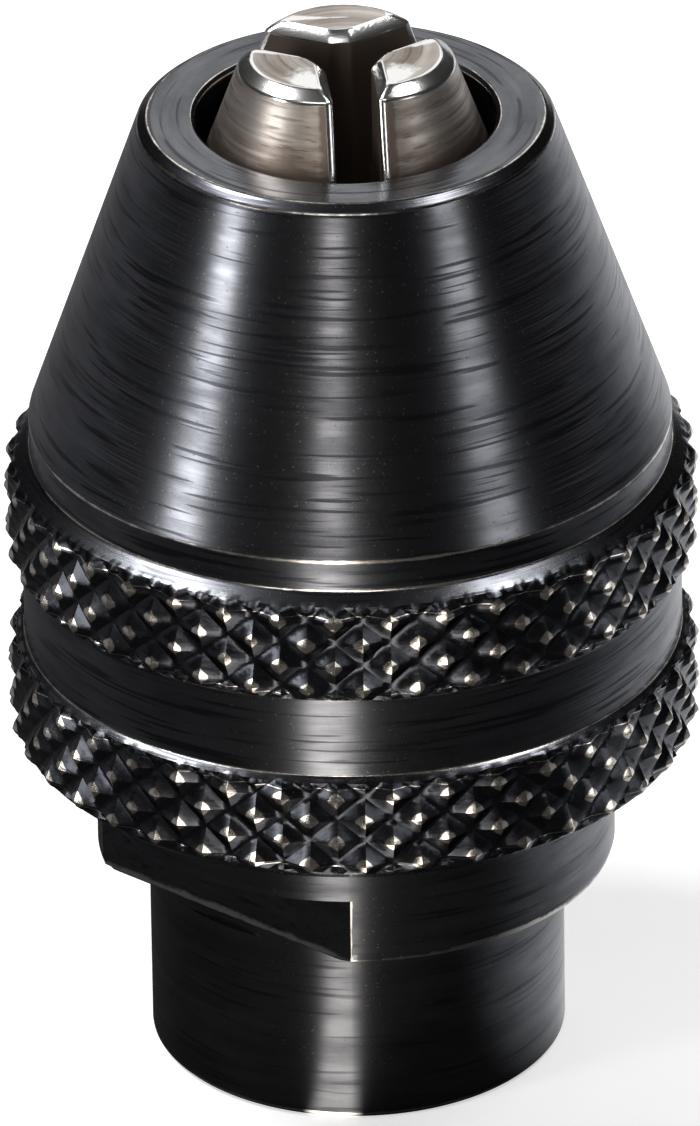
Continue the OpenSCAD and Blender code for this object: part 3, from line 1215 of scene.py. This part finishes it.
@dataclass
class SpindleBody:
    """The rear body: shank, flange with two milled flats, drive thread and spindle thread."""

    layout: Layout
    shank_r: float = 5.25
    shank_l: float = 5.25
    chamfer: float = 0.15
    flange_soft: float = 0.22
    flats_af: float = 10.26
    flats_h: float = 1.8
    flats_below: float = 0.25
    flats_angle: float = 230.0
    thread_wall_r: float = 3.6
    thread_l: float = 7.0
    thread_pitch: float = 0.75
    thread_depth: float = 0.40
    thread_low: float = 0.44
    thread_fade: float = 0.2
    thread_rows_from: float = 0.5
    thread_rows: int = 8
    mouth: float = 0.45
    undercut: float = 0.5
    undercut_l: float = 1.0
    drill_cone: float = 1.8
    drive_chamfer: float = 0.3
    drive_rows: int = 10
    through_r: float = 1.8
    spigot_r: float = 2.55
    spigot_below: float = 0.2
    boss_r: float = 5.0
    ledge: float = 0.004
    columns: int = 180

    @property
    def flats_z(self) -> tuple[float, float]:
        """Lowest and highest point of the wrench flats."""
        return self.shank_l - self.flats_below, self.shank_l + self.flats_h

    def _corners(self) -> list[Corner]:
        """The half section, from the mouth of the spindle thread up the outside and back.

        Returns:
            The corners, all the way round.
        """
        p = self.layout
        wall, end, slope = self.thread_wall_r, self.thread_l + self.undercut_l, self.drive_chamfer
        flat_low, flat_top = self.flats_z
        spigot_top = p.jaw_z - self.spigot_below
        outside = [
            Corner(wall + self.mouth, 0, 0.03), Corner(self.shank_r - self.chamfer, 0, 0.05),
            Corner(self.shank_r, self.chamfer, 0.05), Corner(self.shank_r, flat_low - self.ledge),
            Corner(self.shank_r, flat_low), Corner(self.shank_r, self.shank_l),
            Corner(p.flange_r, self.shank_l, self.flange_soft), Corner(p.flange_r, flat_top),
            Corner(p.flange_r, flat_top + self.ledge), Corner(p.flange_r, p.drive_z),
            Corner(p.drive_r - slope, p.drive_z), Corner(p.drive_r, p.drive_z + slope),
            Corner(p.drive_r, p.drive_top - slope), Corner(p.drive_r - slope, p.drive_top),
            Corner(self.boss_r, p.drive_top), Corner(self.boss_r, p.disc_z, 0.05),
            Corner(self.spigot_r, p.disc_z), Corner(self.spigot_r, spigot_top, 0.05)]
        inside = [
            Corner(self.through_r, spigot_top, 0.05), Corner(self.through_r, end + self.drill_cone),
            Corner(wall, end), Corner(wall + self.undercut, end),
            Corner(wall + self.undercut, self.thread_l), Corner(wall, self.thread_l),
            Corner(wall, self.mouth)]
        return outside + inside

    def _mill(self, mesh: bpy.types.Mesh) -> None:
        """Mills the two wrench flats and marks their upright edges on the flange.

        Args:
            mesh: The turned body.
        """
        skin, rim, close = 0.2, 0.01, 1e-4
        points, marks = points_of(mesh), attribute_of(mesh, "edge")
        low, high = self.flats_z
        r = np.hypot(points[:, 0], points[:, 1])
        tall = (points[:, 2] > (low - self.ledge / 2) * MM) & (points[:, 2] < (high + self.ledge / 2) * MM)
        outer = tall & (r > (self.shank_r - skin) * MM)
        on_rim = outer & (r > (self.layout.flange_r - rim) * MM)
        for turn in (0.0, 180.0):
            angle = math.radians(self.flats_angle + turn)
            normal = np.array((math.cos(angle), math.sin(angle)))
            over = points[:, :2] @ normal - self.flats_af / 2 * MM
            cut = outer & (over > 0)
            points[cut, :2] -= over[cut, None] * normal
            for side in (-1, 1):
                end = angle + side * math.acos(self.flats_af / 2 / self.layout.flange_r)
                off = np.angle(np.exp(1j * (np.arctan2(points[:, 1], points[:, 0]) - end)))
                marks[on_rim & (np.abs(off) < close)] = 1.0
        mesh.vertices.foreach_set("co", points.ravel())
        set_attribute(mesh, "edge", marks)
        mesh.update()

    def build(self, tools: Tools, finish: bpy.types.Material) -> None:
        """Turns, mills and threads the body.

        Args:
            tools: The geometry-node tools.
            finish: The body's material.
        """
        p = self.layout
        wall, drive = self.thread_wall_r, (p.drive_z + self.drive_chamfer, p.drive_top - self.drive_chamfer)
        spread = [math.degrees(math.acos(self.flats_af / 2 / r)) for r in (p.flange_r, self.shank_r)]
        also = [self.flats_angle + side * s + turn for s in spread for side in (-1, 1) for turn in (0, 180)]
        zones = [Zone(self.thread_rows_from, self.thread_l, self.thread_pitch / self.thread_rows,
                      wall - p.running, wall + p.running),
                 Zone(*drive, p.drive_pitch / self.drive_rows, p.drive_r - p.running, p.drive_r + p.running)]
        mesh = Section(self._corners(), zones).turn("rear_body", even_angles(self.columns, also))
        self._mill(mesh)
        piece = new_piece("rear_body", mesh)
        tools.use(piece, tools.thread, {
            "Wall Radius": wall * MM, "Depth": ThreadSide.INTERNAL.value * self.thread_depth * MM,
            "Pitch": self.thread_pitch * MM, "Low": self.thread_low * MM, "High": self.thread_l * MM,
            "Fade": self.thread_fade * MM, "Material": finish})
        tools.use(piece, tools.thread, {
            "Wall Radius": p.drive_r * MM, "Depth": ThreadSide.EXTERNAL.value * p.drive_depth * MM,
            "Pitch": p.drive_pitch * MM, "Low": drive[0] * MM, "High": drive[1] * MM,
            "Fade": self.drive_chamfer * MM, "Phase": 0.5, "Material": finish})
        crease(piece.data)
        hand_over(piece, "body", "spindle_body", finish)


@dataclass
class RetainingRing:
    """The open ring in the sleeve's rear groove."""

    layout: Layout
    inner_r: float = 6.63
    gap: float = 28.0
    soft: float = 0.12
    columns: int = 140

    def build(self, finish: bpy.types.Material) -> None:
        """Turns the ring's section part of the way round, leaving its gap at the back.

        Args:
            finish: The ring's material.
        """
        p = self.layout
        section = Section([
            Corner(self.inner_r, p.ring_z, self.soft), Corner(p.ring_outer_r, p.ring_z, self.soft),
            Corner(p.ring_outer_r, p.ring_top, self.soft), Corner(self.inner_r, p.ring_top, self.soft)])
        angles = np.radians(np.linspace(90 + self.gap / 2, 450 - self.gap / 2, self.columns))
        mesh = section.turn("snap_ring", angles, closed=False)
        crease(mesh)
        hand_over(new_piece("snap_ring", mesh), "ring", "retaining_ring", finish)


@dataclass
class JawSet:
    """The three segment jaws and the springs that push them apart."""

    layout: Layout
    grip_r: float = 0.82
    bevel: float = 0.25
    foot_bevel: float = 0.1
    clear: float = 0.03
    corner: float = 0.16
    tip_corner: float = 0.09
    guard: float = 0.05
    arc_points: int = 22
    # Painted shade on each jaw's slot faces, where the jaws shade each other, and its flank darker towards
    # the foot:
    slot_shade_reach: float = 0.3
    low_darkening: float = 0.5
    darkening_above_nose: float = 0.7
    darkening_fade: float = 1.2
    pocket_r: float = 0.92
    pocket_depth: float = 1.5
    pocket_sides: int = 40
    pocket_overrun: float = 0.2
    rear_spring: Point = (2.0, 3.4)
    front_spring: Point = (5.0, 2.55)
    coil_r: float = 0.5
    wire_r: float = 0.1
    turns: float = 7.0

    def _outline(self, z: float, inset: float) -> list[Row]:
        """Cross-section of a jaw that faces +X: x, y and edge mark, in millimetres.

        Args:
            z: Its height.
            inset: How far it is drawn in from the full section.

        Returns:
            The points, once round.
        """
        p = self.layout
        apex = (p.slot_w / 2 + inset) / math.sin(math.pi / 3)
        tip = self.grip_r + inset
        radius = p.taper_r(z) - p.shut_r - self.clear - inset
        off = apex - p.shut_r
        reach = (-off + math.sqrt(4 * radius ** 2 - 3 * off ** 2)) / 2
        way = np.array((0.5, math.sqrt(3) / 2))
        outer = np.array((apex, 0.0)) + way * reach
        inner = np.array((tip, (tip - apex) * math.sqrt(3)))
        swing = math.atan2(outer[1], outer[0] - p.shut_r)

        def on_arc(angle: float) -> tuple[float, float]:
            """Point of the jaw's outer arc at an angle."""
            return p.shut_r + radius * math.cos(angle), radius * math.sin(angle)

        past = self.corner + self.guard
        below = (0, min(self.tip_corner, inner[1] * 0.8))
        upper = self._bend(inner - below, inner, inner + way * self.tip_corner, 0.0)
        upper.append((*(inner + way * (self.tip_corner + self.guard)), 0.0))
        upper.append((*(outer - way * past), 0.0))
        arc_start = np.array(on_arc(swing - self.corner / radius))
        upper += self._bend(outer - way * self.corner, outer, arc_start, 0.7)
        angles = np.linspace(swing - past / radius, 0, self.arc_points // 2 + 1)
        upper += [(*on_arc(angle), 0.0) for angle in angles]
        return upper + [(x, -y, mark) for x, y, mark in reversed(upper[:-1])]

    @staticmethod
    def _bend(start: np.ndarray, corner: np.ndarray, end: np.ndarray, mark: float) -> list[Row]:
        """A rounded corner: four points from start to end, marked as edge."""
        return [(*rounded(start, corner, end, t), mark * share)
                for t, share in ((0.0, 0.7), (0.35, 1.0), (0.65, 1.0), (1.0, 0.7))]

    def _levels(self) -> list[Row]:
        """Height, inset and edge mark of each row, from the foot to the tip.

        Returns:
            The rows, in millimetres.
        """
        foot, low, high = self.foot_bevel, self.layout.jaw_z, self.layout.jaw_top - self.bevel
        rows = [(low, foot, 0.3), (low + foot * 0.3, foot * 0.3, 0.3), (low + foot, 0.0, 0.2),
                (low + foot + 0.08, 0.0, 0.0)]
        rows += [(z, 0.0, 0.0) for z in np.linspace(low + 1, high - 0.5, 8)]
        rows += [(high - 0.06, 0.0, 0.0), (high, 0.0, 0.8)]
        rows += [(high + self.bevel * up, self.bevel * inset, 1.0)
                 for up, inset in ((0.17, 0.12), (0.88, 0.83), (1.0, 1.0))]
        return [*rows, (self.layout.jaw_top, self.bevel + self.guard, 0.0)]

    def _blank(self, name: str, turn: float) -> bpy.types.Object:
        """Lofts one jaw, turned to its place.

        Args:
            name: The piece's name.
            turn: Which way the jaw faces, in degrees.

        Returns:
            The jaw, without its pockets.
        """
        levels = self._levels()
        spots = [(x, y, z, max(mark, edge)) for z, inset, mark in levels
                 for x, y, edge in self._outline(z, inset)]
        c, s = math.cos(math.radians(turn)), math.sin(math.radians(turn))
        rings = np.array([(x * c - y * s, x * s + y * c, z) for x, y, z, _ in spots]) * MM
        mesh = lofted(name, rings.reshape(len(levels), -1, 3))
        set_attribute(mesh, "edge", np.array([spot[3] for spot in spots]))
        # The valley mark here is painted shade on the slot faces, and the flank darker towards the foot.
        set_attribute(mesh, "valley", np.array([self._slot_shade_and_low_darkening(*spot[:3]) for spot in spots]))
        return new_piece(name, mesh)

    def _slot_shade_and_low_darkening(self, x: float, y: float, z: float) -> float:
        """How dark a point of a jaw that faces +X is painted: painted shade on its slot faces, where the
        jaws shade each other, and its flank darker towards the foot.

        Args:
            x: How far out it is, in millimetres.
            y: How far to the side.
            z: Its height.

        Returns:
            The darkness, from 0 to 1.
        """
        p = self.layout
        off_slot = x - abs(y) / math.sqrt(3) - p.slot_w / math.sqrt(3)
        if off_slot < self.slot_shade_reach and z < p.jaw_top - self.bevel - 0.02:
            return 1.0
        return self.low_darkening * min(1.0, max(0.0, (p.nose_z + self.darkening_above_nose - z) / self.darkening_fade))

    def _pocket(self, turn: float, side: int, place: Point) -> bpy.types.Object:
        """A round cutter for one spring pocket, in the slot face on one side of a jaw.

        Args:
            turn: Which way the jaw faces, in degrees.
            side: Which of its slot faces, -1 or 1.
            place: The pocket's height above the jaw's foot and its distance from the axis.

        Returns:
            The cutter.
        """
        p = self.layout
        slot, up = math.radians(turn + 60 * side), Vector((0, 0, 1))
        along = Vector((math.cos(slot), math.sin(slot), 0.0))
        inward = Vector((math.sin(slot), -math.cos(slot), 0.0)) * side
        across = inward.cross(up)
        start = (along * place[1] + inward * (p.slot_w / 2 - self.pocket_overrun)
                 + up * (p.jaw_z + place[0]))
        angles = np.arange(self.pocket_sides) * math.pi / (self.pocket_sides // 2)
        ring = [(across * math.cos(a) + up * math.sin(a)) * self.pocket_r for a in angles]
        rings = [[tuple((start + inward * depth + spoke) * MM) for spoke in ring]
                 for depth in (0.0, self.pocket_depth + self.pocket_overrun)]
        return new_piece("pocket_cutter", lofted("pocket_cutter", np.array(rings)))

    def _jaw(self, number: int, finish: bpy.types.Material) -> None:
        """Makes one jaw with its four spring pockets.

        Args:
            number: Which jaw, counted from 0.
            finish: Its material.
        """
        turn = self.layout.jaw_angle + 120 * number
        piece = self._blank(f"segment_jaw_{number + 1}", turn)
        cutters = [self._pocket(turn, side, place)
                   for side in (-1, 1) for place in (self.rear_spring, self.front_spring)]
        for cutter in cutters:
            cut = piece.modifiers.new("pocket", "BOOLEAN")
            cut.operation = "DIFFERENCE"
            cut.solver = "EXACT"
            cut.object = cutter
        settle(piece)
        for cutter in cutters:
            bpy.data.meshes.remove(cutter.data)
        crease(piece.data, 35.0)
        body = f"jaw_{number + 1}"
        hand_over(piece, body, body, finish)

    def _spring(self, tools: Tools, number: int, row: str, place: Point,
                finish: bpy.types.Material) -> None:
        """Winds one spring across the slot after a jaw, in two halves that meet in the middle.

        Each half stays where it is made and is attached to no jaw.

        Args:
            tools: The geometry-node tools.
            number: The jaw that the slot comes after, counted from 0.
            row: The spring's row, rear or front.
            place: Its height above the jaws' feet and its distance from the axis.
            finish: Its material.
        """
        p = self.layout
        up, out = p.jaw_z + place[0], place[1]
        name, slot = f"{row}_coil_{number + 1}", math.radians(p.jaw_angle + 60 + 120 * number)
        length = p.slot_w + 2 * self.pocket_depth - 2 * p.running
        whole = new_piece(name, bpy.data.meshes.new("wire"))
        tools.use(whole, tools.spring, {
            "Length": length * MM, "Coil Radius": self.coil_r * MM, "Wire Radius": self.wire_r * MM,
            "Turns": self.turns, "Out": out * MM, "Height": up * MM, "Angle": slot, "Material": finish})
        rings = points_of(whole.data).reshape(-1, Tools.WIRE_SIDES, 3)
        bpy.data.meshes.remove(whole.data)
        middle = len(rings) // 2
        centre = Vector((math.cos(slot) * out, math.sin(slot) * out, up))
        across = Vector((-math.sin(slot), math.cos(slot), 0.0))
        foot, still = length / 2 - 2 * self.wire_r, 1.2 * self.wire_r
        for label, part, side in (("a", rings[:middle + 1], -1), ("b", rings[middle:], 1)):
            piece = new_piece(f"{name}_{label}", lofted(f"{name}_{label}", part))
            crease(piece.data, 60.0)
            bend = tuple((centre + across * side * away) * MM for away in (foot, still))
            jaw = number if side < 0 else (number + 1) % 3
            hand_over(piece, f"jaw_{jaw + 1}", f"{row}_spring_{number + 1}", finish, bend)

    def build(self, tools: Tools, steel: bpy.types.Material, wire: bpy.types.Material) -> None:
        """Makes the jaws and their springs.

        Args:
            tools: The geometry-node tools.
            steel: The jaws' material.
            wire: The springs' material.
        """
        for number in range(3):
            self._jaw(number, steel)
        for row, place in (("rear", self.rear_spring), ("front", self.front_spring)):
            for number in range(3):
                self._spring(tools, number, row, place, wire)


@dataclass
class ThrustDisc:
    """The washer that the jaws stand on. Its turned shape is kept as the frame gives it."""

    node: str = "thrust_disc"

    def dress(self, finish: bpy.types.Material) -> None:
        """Gives the disc its ground finish."""
        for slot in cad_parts[self.node].material_slots:
            slot.material = finish
        LOG.info("%s: dressed as %s", self.node, finish.name)


# --- Studio ---


def heading(azimuth: float, elevation: float) -> Vector:
    """Direction seen from the chuck, in degrees; azimuth 0 is in front, positive to the right."""
    a, e = math.radians(azimuth), math.radians(elevation)
    return Vector((math.sin(a) * math.cos(e), -math.cos(a) * math.cos(e), math.sin(e)))


@dataclass
class Softbox:
    """One soft lamp, aimed at the chuck.

    Attributes:
        name: The lamp's name.
        azimuth: Direction round the chuck, in degrees; 0 is in front, positive to the right.
        elevation: Height above the horizon, in degrees.
        distance: Distance from the chuck, in metres.
        width: Width, in metres.
        height: Height, in metres.
        glow: Brightness of its face.
        tint: Its colour.
    """

    name: str
    azimuth: float
    elevation: float
    distance: float
    width: float
    height: float
    glow: float
    tint: Colour = (1.0, 1.0, 1.0)

    def hang(self, target: Vector) -> None:
        """Adds the lamp, aimed at a point.

        Args:
            target: The point.
        """
        away = heading(self.azimuth, self.elevation)
        lamp = bpy.data.lights.new(self.name, "AREA")
        lamp.shape = "RECTANGLE"
        lamp.size, lamp.size_y = self.width, self.height
        lamp.energy = self.glow * math.pi * self.width * self.height
        lamp.color = self.tint
        item = bpy.data.objects.new(self.name, lamp)
        item.location = target + away * self.distance
        item.rotation_mode = "QUATERNION"
        item.rotation_quaternion = away.to_track_quat("Z", "Y")
        item.visible_camera = False
        bpy.context.scene.collection.objects.link(item)


@dataclass
class Studio:
    """Floor, lamps, surroundings and camera."""

    floor_half: float = 1.6
    surround: float = 0.018
    azimuth: float = 0.0
    elevation: float = 28.5
    roll: float = -0.85
    distance: float = 0.435
    lens: float = 553.5
    sensor: float = 36.0
    aim: tuple[float, float, float] = (-0.00006, 0.0, 0.01312)
    lamps: list[Softbox] = field(default_factory=lambda: [
        Softbox("left_box", -60, 11, 0.60, 0.11, 0.34, 8.0),
        Softbox("front_strip", -7, 9, 0.75, 0.12, 0.26, 3.3, (1.0, 0.95, 0.9)),
        Softbox("right_box", 52, 11, 0.60, 0.13, 0.34, 2.2),
        Softbox("high_left", -98, 57.5, 0.60, 0.19, 0.14, 24.0),
        Softbox("high_right", 89, 62, 0.60, 0.14, 0.12, 11.0),
        Softbox("overhead", -12, 56, 0.60, 0.34, 0.09, 3.6),
        Softbox("back_sheet", 180, 36, 0.70, 0.70, 0.46, 1.0)])

    def build(self) -> None:
        """Lays the floor, hangs the lamps and sets up the camera."""
        low, high = CAD_BOX
        self._floor(low.z)
        for lamp in self.lamps:
            lamp.hang((low + high) / 2)
        self._world()
        self._camera()
        bpy.context.scene.view_settings.view_transform = "Standard"

    def _floor(self, height: float) -> None:
        """Lays pale paper under the object.

        Args:
            height: The paper's height, in metres.
        """
        h = self.floor_half
        corners = [(-h, -h, height), (h, -h, height), (h, h, height), (-h, h, height)]
        mesh = bpy.data.meshes.new("floor")
        mesh.from_pydata(corners, [], [(0, 1, 2, 3)])
        mesh.materials.append(PaperSweep().material())
        new_piece("floor", mesh)

    def _world(self) -> None:
        """Dim surroundings for reflections, and plain white behind the object."""
        world = bpy.data.worlds.new("surroundings")
        world.use_nodes = True
        bpy.context.scene.world = world
        graph = Graph(world.node_tree)
        background = world.node_tree.nodes["Background"]
        direct = graph.get("ShaderNodeLightPath", output="Is Camera Ray")
        background.inputs["Color"].default_value = (1.0, 1.0, 1.0, 1.0)
        graph.feed(background.inputs["Strength"], graph.ramp(direct, 0.0, 1.0, self.surround, 1.0))

    def _camera(self) -> None:
        """Places the camera on its long lens."""
        back = heading(self.azimuth, self.elevation)
        data = bpy.data.cameras.new("camera")
        data.sensor_width = self.sensor
        data.lens = self.lens
        data.clip_start, data.clip_end = 0.01, 20.0
        camera = bpy.data.objects.new("camera", data)
        level = (-back).to_track_quat("-Z", "Y").to_matrix()
        rolled = level @ Matrix.Rotation(math.radians(self.roll), 3, "Z")
        camera.location = Vector(self.aim) + back * self.distance
        camera.rotation_mode = "QUATERNION"
        camera.rotation_quaternion = rolled.to_quaternion()
        bpy.context.scene.collection.objects.link(camera)
        bpy.context.scene.camera = camera


def main() -> None:
    """Builds the chuck's sub-assemblies in order, then the studio."""
    logging.basicConfig(level=logging.INFO, format="%(name)s: %(message)s")
    effects, tools, layout = Effects(), Tools(), Layout()
    wire = SPRING_WIRE.material(effects)
    NoseSleeve(layout).build(tools, SLEEVE_BLACK.material(effects))
    SpindleBody(layout).build(tools, BODY_BLACK.material(effects))
    RetainingRing(layout).build(wire)
    JawSet(layout).build(tools, JAW_STEEL.material(effects), wire)
    ThrustDisc().dress(GROUND_STEEL.material(effects))
    Studio().build()


if __name__ == "__main__":
    main()
